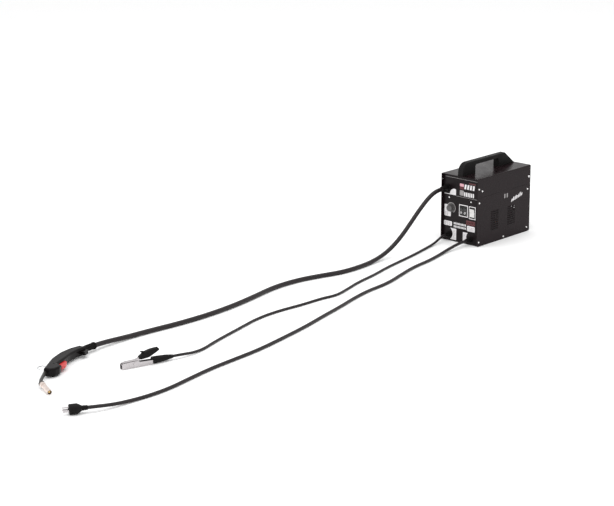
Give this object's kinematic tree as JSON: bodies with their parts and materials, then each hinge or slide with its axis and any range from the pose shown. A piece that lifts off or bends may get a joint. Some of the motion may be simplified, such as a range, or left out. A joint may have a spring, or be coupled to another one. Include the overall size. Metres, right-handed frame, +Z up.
{
  "type": "mig welding machine",
  "caption": "Box-shaped wire-feed arc welder with a carrying handle, a side door over its wire spool, a corded torch, an earth clamp and a mains plug.",
  "frame": {"origin": "middle of the case's flat underside, where it rests on the floor", "axes": "+Z up, the control panel faces -Y, the louvred side faces +X and the wire door faces -X"},
  "size_m": [0.4828, 2.486, 0.308],
  "materials": {
    "case_paint": "dark powder coat, semi-gloss",
    "panel_paint": "near-black paint, satin",
    "black_plastic": "moulded black, fine grain",
    "gloss_black_plastic": "moulded black, glossy",
    "grey_plastic": "moulded grey",
    "white_plastic": "moulded white",
    "red_plastic": "moulded red",
    "zinc_steel": "zinc-plated sheet",
    "bright_steel": "bright plated",
    "core_steel": "stacked laminations",
    "copper": "lacquered copper wire",
    "brass": "turned brass",
    "nozzle_metal": "drawn copper alloy, satin",
    "board_green": "solder-masked board",
    "wire_steel": "wound welding wire",
    "cord_rubber": "black cord sheath"
  },
  "bodies": {
    "case": {"base_pan": "case_paint", "front_panel": "panel_paint", "rear_panel": "case_paint", "top_cover": "case_paint", "right_side_panel": "case_paint", "left_side_panel": "case_paint", "hinge_leaves": "zinc_steel", "carry_handle": "black_plastic", "case_screws": "bright_steel", "torch_gland": "black_plastic", "earth_gland": "black_plastic", "mains_gland": "black_plastic", "potentiometer": "zinc_steel", "rocker_housings": "gloss_black_plastic", "divider_plate": "zinc_steel", "control_board": "board_green", "transformer_core": "core_steel", "transformer_windings": "copper", "fan_shroud": "black_plastic", "fan_motor": "zinc_steel", "feed_motor": "zinc_steel", "feeder_base": "grey_plastic", "spool_spindle": "grey_plastic", "torch_shell_lower": "gloss_black_plastic", "torch_shell_upper": "gloss_black_plastic", "trigger_switch": "grey_plastic", "torch_neck": "black_plastic", "torch_nozzle": "nozzle_metal", "contact_tip": "brass", "torch_hook": "bright_steel", "torch_sleeve": "cord_rubber", "torch_clip": "black_plastic", "clamp_body": "bright_steel", "clamp_sleeve": "cord_rubber", "clamp_rivet": "bright_steel", "clamp_spring": "zinc_steel", "plug_body": "black_plastic", "plug_pins": "bright_steel", "torch_cable": "cord_rubber", "earth_cable": "cord_rubber", "mains_cord": "cord_rubber"},
    "wire_door": {"wire_door": "case_paint", "door_pull": "black_plastic"},
    "speed_knob": {"speed_knob": "black_plastic"},
    "range_rocker": {"range_rocker": "gloss_black_plastic"},
    "step_rocker": {"step_rocker": "gloss_black_plastic"},
    "power_rocker": {"power_rocker": "white_plastic"},
    "fan_rotor": {"fan_rotor": "black_plastic"},
    "spool": {"spool": "black_plastic", "wire_coil": "wire_steel"},
    "drive_roll": {"drive_roll": "bright_steel"},
    "pressure_arm": {"pressure_arm": "grey_plastic"},
    "pressure_roll": {"pressure_roll": "bright_steel"},
    "tension_knob": {"tension_knob": "red_plastic"},
    "torch_trigger": {"torch_trigger": "red_plastic"},
    "clamp_lever": {"clamp_lever": "bright_steel", "clamp_grip": "cord_rubber"}
  },
  "joints": [
    {"name": "door_hinge", "type": "hinge", "parent": "case", "child": "wire_door", "pos_m": [-0.0899, 0.137, 0.146], "axis": [0, 0, -1], "range_deg": [0, 120]},
    {"name": "speed_knob_turn", "type": "hinge", "parent": "case", "child": "speed_knob", "pos_m": [-0.046, -0.151, 0.129], "axis": [0, 1, 0], "range_deg": [-135, 135]},
    {"name": "range_rocker_tilt", "type": "hinge", "parent": "case", "child": "range_rocker", "pos_m": [0.003, -0.146, 0.126], "axis": [-1, 0, 0], "range_deg": [0, 12]},
    {"name": "step_rocker_tilt", "type": "hinge", "parent": "case", "child": "step_rocker", "pos_m": [0.021, -0.146, 0.126], "axis": [-1, 0, 0], "range_deg": [0, 12]},
    {"name": "power_rocker_tilt", "type": "hinge", "parent": "case", "child": "power_rocker", "pos_m": [0.054, -0.146, 0.1245], "axis": [-1, 0, 0], "range_deg": [0, 12]},
    {"name": "fan_spin", "type": "hinge", "parent": "case", "child": "fan_rotor", "pos_m": [0.03, 0.142, 0.12], "axis": [0, 1, 0], "continuous": true},
    {"name": "spool_spin", "type": "hinge", "parent": "case", "child": "spool", "pos_m": [-0.063, 0.045, 0.146], "axis": [1, 0, 0], "continuous": true},
    {"name": "drive_roll_spin", "type": "hinge", "parent": "case", "child": "drive_roll", "pos_m": [-0.066, -0.095, 0.18855], "axis": [1, 0, 0], "continuous": true},
    {"name": "pressure_arm_swing", "type": "hinge", "parent": "case", "child": "pressure_arm", "pos_m": [-0.052, -0.124, 0.214], "axis": [1, 0, 0], "range_deg": [0, 30]},
    {"name": "pressure_roll_spin", "type": "hinge", "parent": "pressure_arm", "child": "pressure_roll", "pos_m": [-0.066, -0.095, 0.21345], "axis": [1, 0, 0], "continuous": true},
    {"name": "tension_knob_turn", "type": "hinge", "parent": "pressure_arm", "child": "tension_knob", "pos_m": [-0.0608, -0.074, 0.217], "axis": [1, 0, 0], "range_deg": [0, 180]},
    {"name": "trigger_squeeze", "type": "hinge", "parent": "case", "child": "torch_trigger", "pos_m": [-0.00811, -2.09488, 0.01866], "axis": [0.1067, 0.0378, 0.9936], "range_deg": [0, 8], "stiffness_Nm_per_rad": 0.15, "springref_deg": -5.73},
    {"name": "clamp_squeeze", "type": "hinge", "parent": "case", "child": "clamp_lever", "pos_m": [0.13355, -1.90883, 0.0123], "axis": [-0.9585, 0.2851, 0], "range_deg": [0, 6], "stiffness_Nm_per_rad": 2, "springref_deg": -17.19}
  ],
  "couplings": [
    {"joint": "drive_roll_spin", "follows": "spool_spin", "ratio": 3.0714}
  ]
}
